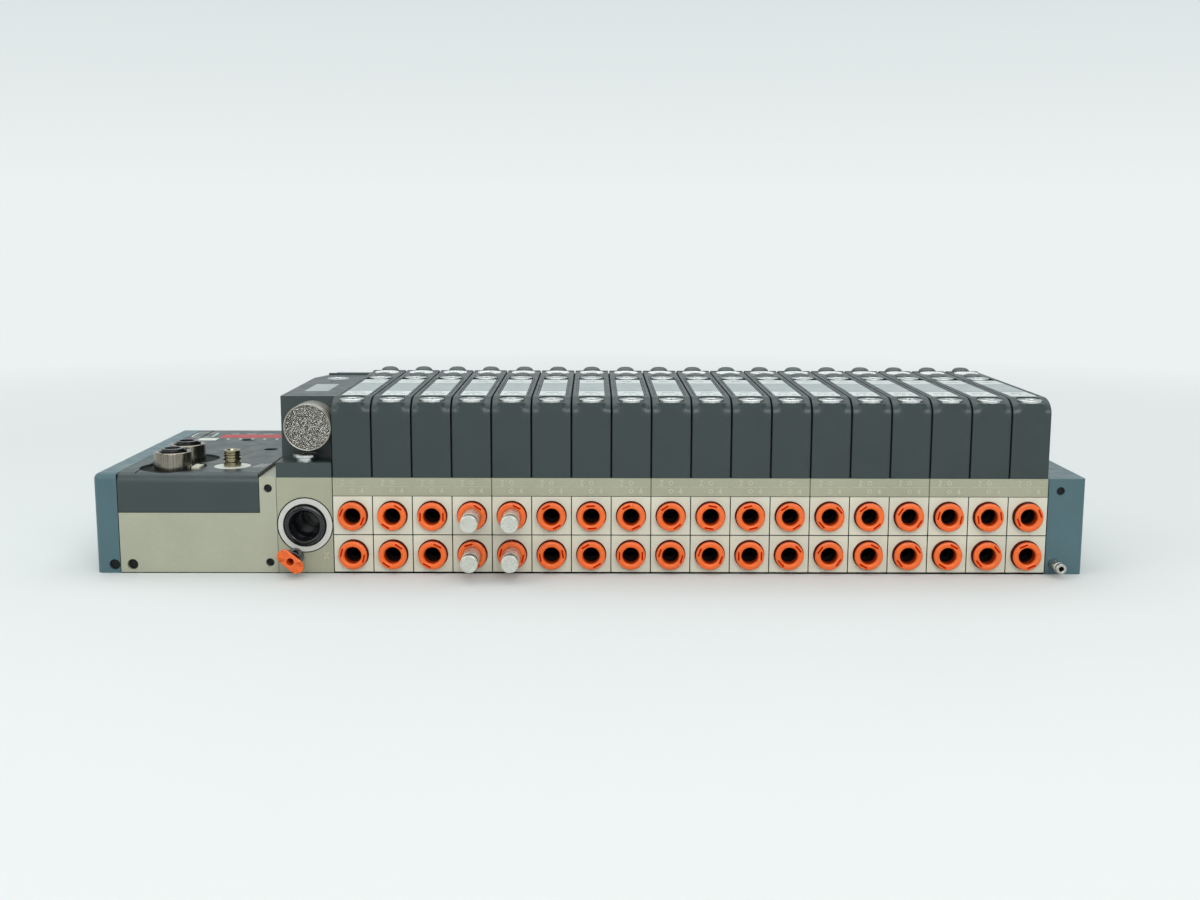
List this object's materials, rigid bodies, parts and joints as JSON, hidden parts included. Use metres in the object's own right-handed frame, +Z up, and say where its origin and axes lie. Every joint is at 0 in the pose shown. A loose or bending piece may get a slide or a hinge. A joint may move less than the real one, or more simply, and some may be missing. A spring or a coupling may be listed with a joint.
{
  "type": "pneumatic valve island",
  "caption": "Row of pneumatic valves on a ported manifold with push-in tube ports, an electronics head, a supply and exhaust module and sprung manual overrides.",
  "frame": {"origin": "centre of the underside, on the mounting plane", "axes": "+X along the row to the right as seen from the port side, +Y from the ports to the back, +Z up"},
  "size_m": [0.449, 0.156, 0.0823],
  "materials": {
    "end_plate_blue_grey": "fine matt",
    "housing_beige": "fine matt",
    "cover_dark_grey": "fine matt",
    "board_green": "solder mask",
    "nickel": "satin nickel plate",
    "black_plastic": "satin",
    "ring_light_grey": "satin",
    "collet_orange": "satin",
    "sintered_metal": "sintered granules",
    "insert_ivory": "fine matt",
    "plug_steel": "turned",
    "valve_slate_grey": "fine matt",
    "label_grey": "satin",
    "screw_steel": "zinc plated",
    "lens_clear": "polished",
    "override_grey": "satin",
    "screw_black": "black oxide"
  },
  "bodies": {
    "island": {"left_end_plate": "end_plate_blue_grey", "right_end_plate": "end_plate_blue_grey", "electronics_housing": "housing_beige", "electronics_cover": "cover_dark_grey", "circuit_board": "board_green", "connector_shells": "nickel", "connector_inserts": "black_plastic", "supply_block": "housing_beige", "supply_sleeve": "ring_light_grey", "pilot_fitting": "black_plastic", "exhaust_block": "cover_dark_grey", "exhaust_muffler": "sintered_metal", "manifold_blocks": "housing_beige", "port_inserts": "insert_ivory", "port_collets": "collet_orange", "port_plugs": "plug_steel", "valve_bodies": "valve_slate_grey", "valve_labels": "label_grey", "module_screws": "screw_steel", "indicator_lenses": "lens_clear", "housing_screws": "screw_black", "bleed_fitting": "nickel"},
    "supply_collet": {"supply_collet": "black_plastic"},
    "pilot_release_button": {"pilot_release_button": "collet_orange"},
    "override_front_01": {"override_front_01": "override_grey"},
    "override_front_02": {"override_front_02": "override_grey"},
    "override_front_03": {"override_front_03": "override_grey"},
    "override_front_04": {"override_front_04": "override_grey"},
    "override_front_05": {"override_front_05": "override_grey"},
    "override_front_06": {"override_front_06": "override_grey"},
    "override_front_07": {"override_front_07": "override_grey"},
    "override_front_08": {"override_front_08": "override_grey"},
    "override_front_09": {"override_front_09": "override_grey"},
    "override_front_10": {"override_front_10": "override_grey"},
    "override_front_11": {"override_front_11": "override_grey"},
    "override_front_12": {"override_front_12": "override_grey"},
    "override_front_13": {"override_front_13": "override_grey"},
    "override_front_14": {"override_front_14": "override_grey"},
    "override_front_15": {"override_front_15": "override_grey"},
    "override_front_16": {"override_front_16": "override_grey"},
    "override_front_17": {"override_front_17": "override_grey"},
    "override_front_18": {"override_front_18": "override_grey"},
    "override_rear_01": {"override_rear_01": "override_grey"},
    "override_rear_02": {"override_rear_02": "override_grey"},
    "override_rear_03": {"override_rear_03": "override_grey"},
    "override_rear_04": {"override_rear_04": "override_grey"},
    "override_rear_05": {"override_rear_05": "override_grey"},
    "override_rear_06": {"override_rear_06": "override_grey"},
    "override_rear_07": {"override_rear_07": "override_grey"},
    "override_rear_08": {"override_rear_08": "override_grey"},
    "override_rear_09": {"override_rear_09": "override_grey"},
    "override_rear_10": {"override_rear_10": "override_grey"},
    "override_rear_11": {"override_rear_11": "override_grey"},
    "override_rear_12": {"override_rear_12": "override_grey"},
    "override_rear_13": {"override_rear_13": "override_grey"},
    "override_rear_14": {"override_rear_14": "override_grey"},
    "override_rear_15": {"override_rear_15": "override_grey"},
    "override_rear_16": {"override_rear_16": "override_grey"},
    "override_rear_17": {"override_rear_17": "override_grey"},
    "override_rear_18": {"override_rear_18": "override_grey"}
  },
  "joints": [
    {"name": "override_front_01_press", "type": "slide", "parent": "island", "child": "override_front_01", "axis": [0, 0, -1], "range_m": [0, 0.0015], "stiffness_N_per_m": 600},
    {"name": "override_front_02_press", "type": "slide", "parent": "island", "child": "override_front_02", "axis": [0, 0, -1], "range_m": [0, 0.0015], "stiffness_N_per_m": 600},
    {"name": "override_front_03_press", "type": "slide", "parent": "island", "child": "override_front_03", "axis": [0, 0, -1], "range_m": [0, 0.0015], "stiffness_N_per_m": 600},
    {"name": "override_front_04_press", "type": "slide", "parent": "island", "child": "override_front_04", "axis": [0, 0, -1], "range_m": [0, 0.0015], "stiffness_N_per_m": 600},
    {"name": "override_front_05_press", "type": "slide", "parent": "island", "child": "override_front_05", "axis": [0, 0, -1], "range_m": [0, 0.0015], "stiffness_N_per_m": 600},
    {"name": "override_front_06_press", "type": "slide", "parent": "island", "child": "override_front_06", "axis": [0, 0, -1], "range_m": [0, 0.0015], "stiffness_N_per_m": 600},
    {"name": "override_front_07_press", "type": "slide", "parent": "island", "child": "override_front_07", "axis": [0, 0, -1], "range_m": [0, 0.0015], "stiffness_N_per_m": 600},
    {"name": "override_front_08_press", "type": "slide", "parent": "island", "child": "override_front_08", "axis": [0, 0, -1], "range_m": [0, 0.0015], "stiffness_N_per_m": 600},
    {"name": "override_front_09_press", "type": "slide", "parent": "island", "child": "override_front_09", "axis": [0, 0, -1], "range_m": [0, 0.0015], "stiffness_N_per_m": 600},
    {"name": "override_front_10_press", "type": "slide", "parent": "island", "child": "override_front_10", "axis": [0, 0, -1], "range_m": [0, 0.0015], "stiffness_N_per_m": 600},
    {"name": "override_front_11_press", "type": "slide", "parent": "island", "child": "override_front_11", "axis": [0, 0, -1], "range_m": [0, 0.0015], "stiffness_N_per_m": 600},
    {"name": "override_front_12_press", "type": "slide", "parent": "island", "child": "override_front_12", "axis": [0, 0, -1], "range_m": [0, 0.0015], "stiffness_N_per_m": 600},
    {"name": "override_front_13_press", "type": "slide", "parent": "island", "child": "override_front_13", "axis": [0, 0, -1], "range_m": [0, 0.0015], "stiffness_N_per_m": 600},
    {"name": "override_front_14_press", "type": "slide", "parent": "island", "child": "override_front_14", "axis": [0, 0, -1], "range_m": [0, 0.0015], "stiffness_N_per_m": 600},
    {"name": "override_front_15_press", "type": "slide", "parent": "island", "child": "override_front_15", "axis": [0, 0, -1], "range_m": [0, 0.0015], "stiffness_N_per_m": 600},
    {"name": "override_front_16_press", "type": "slide", "parent": "island", "child": "override_front_16", "axis": [0, 0, -1], "range_m": [0, 0.0015], "stiffness_N_per_m": 600},
    {"name": "override_front_17_press", "type": "slide", "parent": "island", "child": "override_front_17", "axis": [0, 0, -1], "range_m": [0, 0.0015], "stiffness_N_per_m": 600},
    {"name": "override_front_18_press", "type": "slide", "parent": "island", "child": "override_front_18", "axis": [0, 0, -1], "range_m": [0, 0.0015], "stiffness_N_per_m": 600},
    {"name": "override_rear_01_press", "type": "slide", "parent": "island", "child": "override_rear_01", "axis": [0, 0, -1], "range_m": [0, 0.0015], "stiffness_N_per_m": 600},
    {"name": "override_rear_02_press", "type": "slide", "parent": "island", "child": "override_rear_02", "axis": [0, 0, -1], "range_m": [0, 0.0015], "stiffness_N_per_m": 600},
    {"name": "override_rear_03_press", "type": "slide", "parent": "island", "child": "override_rear_03", "axis": [0, 0, -1], "range_m": [0, 0.0015], "stiffness_N_per_m": 600},
    {"name": "override_rear_04_press", "type": "slide", "parent": "island", "child": "override_rear_04", "axis": [0, 0, -1], "range_m": [0, 0.0015], "stiffness_N_per_m": 600},
    {"name": "override_rear_05_press", "type": "slide", "parent": "island", "child": "override_rear_05", "axis": [0, 0, -1], "range_m": [0, 0.0015], "stiffness_N_per_m": 600},
    {"name": "override_rear_06_press", "type": "slide", "parent": "island", "child": "override_rear_06", "axis": [0, 0, -1], "range_m": [0, 0.0015], "stiffness_N_per_m": 600},
    {"name": "override_rear_07_press", "type": "slide", "parent": "island", "child": "override_rear_07", "axis": [0, 0, -1], "range_m": [0, 0.0015], "stiffness_N_per_m": 600},
    {"name": "override_rear_08_press", "type": "slide", "parent": "island", "child": "override_rear_08", "axis": [0, 0, -1], "range_m": [0, 0.0015], "stiffness_N_per_m": 600},
    {"name": "override_rear_09_press", "type": "slide", "parent": "island", "child": "override_rear_09", "axis": [0, 0, -1], "range_m": [0, 0.0015], "stiffness_N_per_m": 600},
    {"name": "override_rear_10_press", "type": "slide", "parent": "island", "child": "override_rear_10", "axis": [0, 0, -1], "range_m": [0, 0.0015], "stiffness_N_per_m": 600},
    {"name": "override_rear_11_press", "type": "slide", "parent": "island", "child": "override_rear_11", "axis": [0, 0, -1], "range_m": [0, 0.0015], "stiffness_N_per_m": 600},
    {"name": "override_rear_12_press", "type": "slide", "parent": "island", "child": "override_rear_12", "axis": [0, 0, -1], "range_m": [0, 0.0015], "stiffness_N_per_m": 600},
    {"name": "override_rear_13_press", "type": "slide", "parent": "island", "child": "override_rear_13", "axis": [0, 0, -1], "range_m": [0, 0.0015], "stiffness_N_per_m": 600},
    {"name": "override_rear_14_press", "type": "slide", "parent": "island", "child": "override_rear_14", "axis": [0, 0, -1], "range_m": [0, 0.0015], "stiffness_N_per_m": 600},
    {"name": "override_rear_15_press", "type": "slide", "parent": "island", "child": "override_rear_15", "axis": [0, 0, -1], "range_m": [0, 0.0015], "stiffness_N_per_m": 600},
    {"name": "override_rear_16_press", "type": "slide", "parent": "island", "child": "override_rear_16", "axis": [0, 0, -1], "range_m": [0, 0.0015], "stiffness_N_per_m": 600},
    {"name": "override_rear_17_press", "type": "slide", "parent": "island", "child": "override_rear_17", "axis": [0, 0, -1], "range_m": [0, 0.0015], "stiffness_N_per_m": 600},
    {"name": "override_rear_18_press", "type": "slide", "parent": "island", "child": "override_rear_18", "axis": [0, 0, -1], "range_m": [0, 0.0015], "stiffness_N_per_m": 600},
    {"name": "supply_collet_release", "type": "slide", "parent": "island", "child": "supply_collet", "axis": [0, 1, 0], "range_m": [0, 0.001], "stiffness_N_per_m": 2000},
    {"name": "pilot_button_release", "type": "slide", "parent": "island", "child": "pilot_release_button", "axis": [0, 1, 0], "range_m": [0, 0.0008], "stiffness_N_per_m": 1000}
  ]
}
